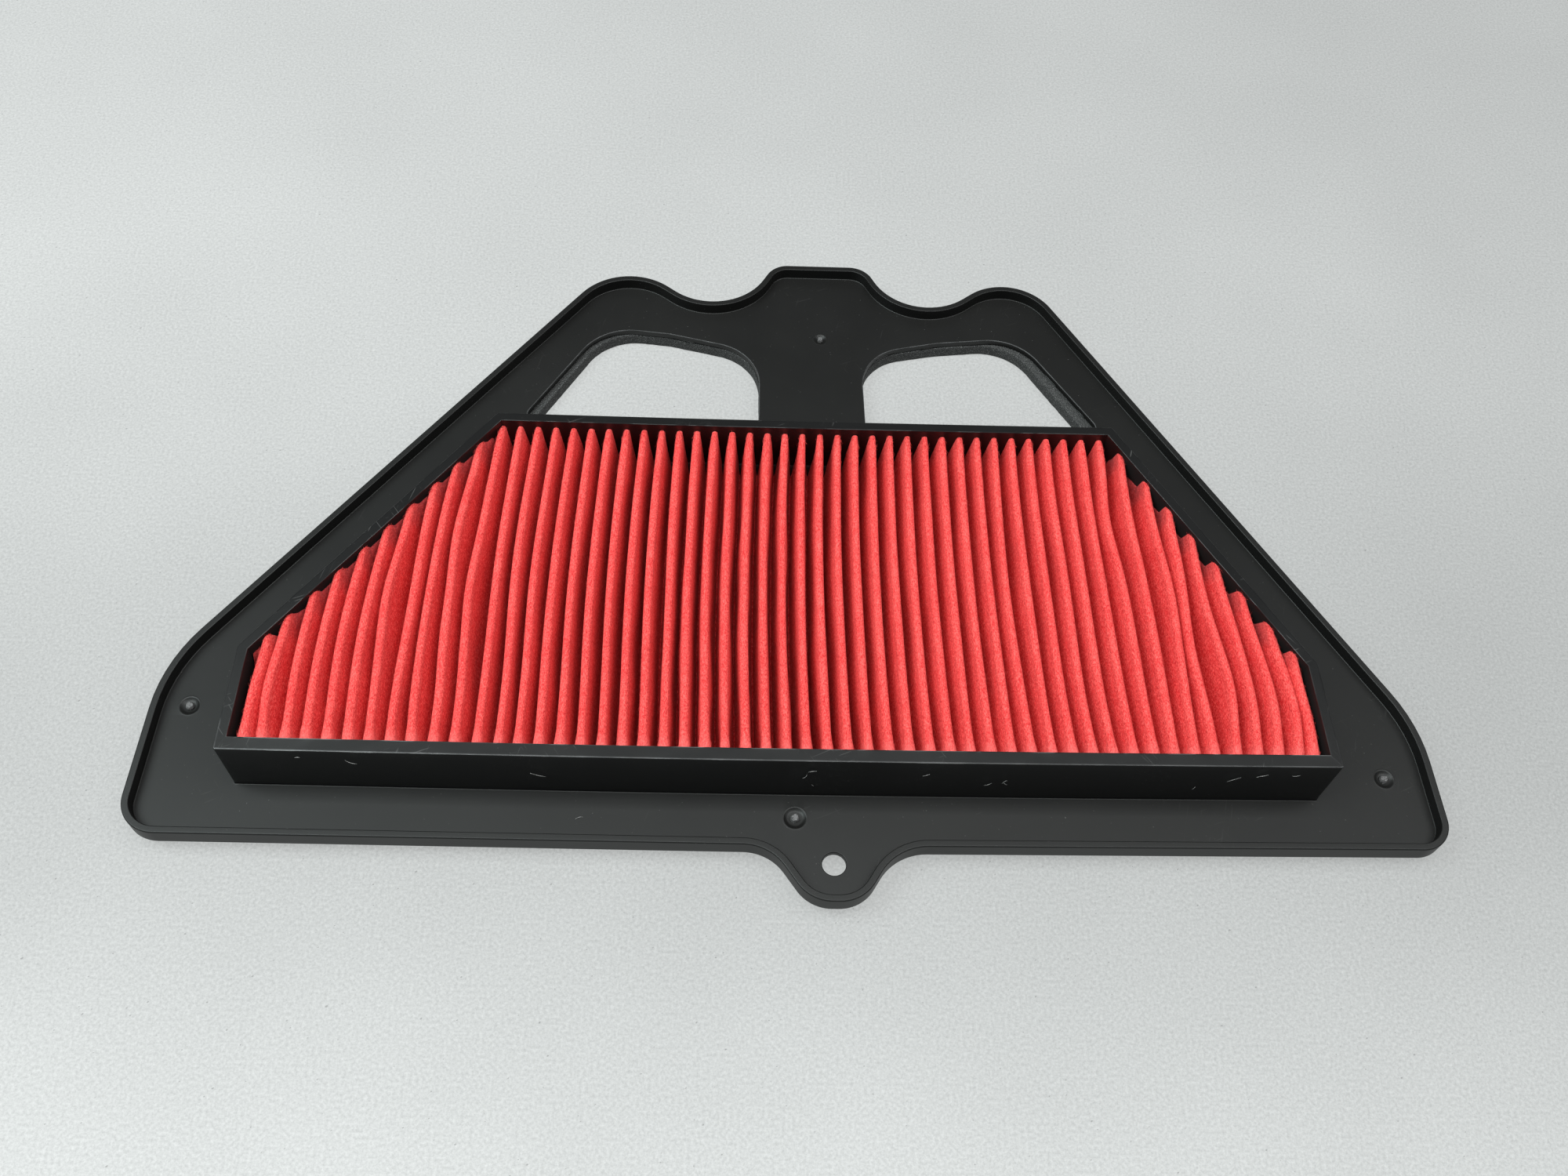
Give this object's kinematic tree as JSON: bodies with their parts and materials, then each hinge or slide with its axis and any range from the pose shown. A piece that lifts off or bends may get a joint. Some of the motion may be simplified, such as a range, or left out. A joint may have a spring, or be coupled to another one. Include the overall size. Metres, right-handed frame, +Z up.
{
  "type": "panel air filter",
  "caption": "Flanged panel air filter: a black moulded tray with a turned-up rim, windows and a bolt tab carries a six-sided box of pleated red felt.",
  "frame": {"origin": "centre of the overall box in plan, on the face that the foam seals rest on", "axes": "+X along the straight front edge, to the right seen from above with the bolt tab nearest; +Y from the bolt tab towards the hump; +Z up, out of the open face of the pleats"},
  "size_m": [0.3753, 0.2364, 0.0289],
  "materials": {
    "carrier_plastic": "moulded, fine satin grain",
    "box_plastic": "moulded, satin, scuffed on its top edge",
    "grid_plastic": "moulded, satin",
    "red_felt": "soft needled felt, slightly fuzzy",
    "adhesive": "cured adhesive, satin",
    "foam": "closed-cell foam, open skin at the cut edges"
  },
  "bodies": {
    "root": {"flange_tray": "carrier_plastic", "media_box": "box_plastic", "support_grid": "grid_plastic", "pleated_media": "red_felt", "front_bead": "adhesive", "right_side_bead": "adhesive", "right_slant_bead": "adhesive", "back_bead": "adhesive", "left_slant_bead": "adhesive", "left_side_bead": "adhesive", "edge_seal": "foam", "left_window_seal": "foam", "right_window_seal": "foam"}
  },
  "joints": []
}
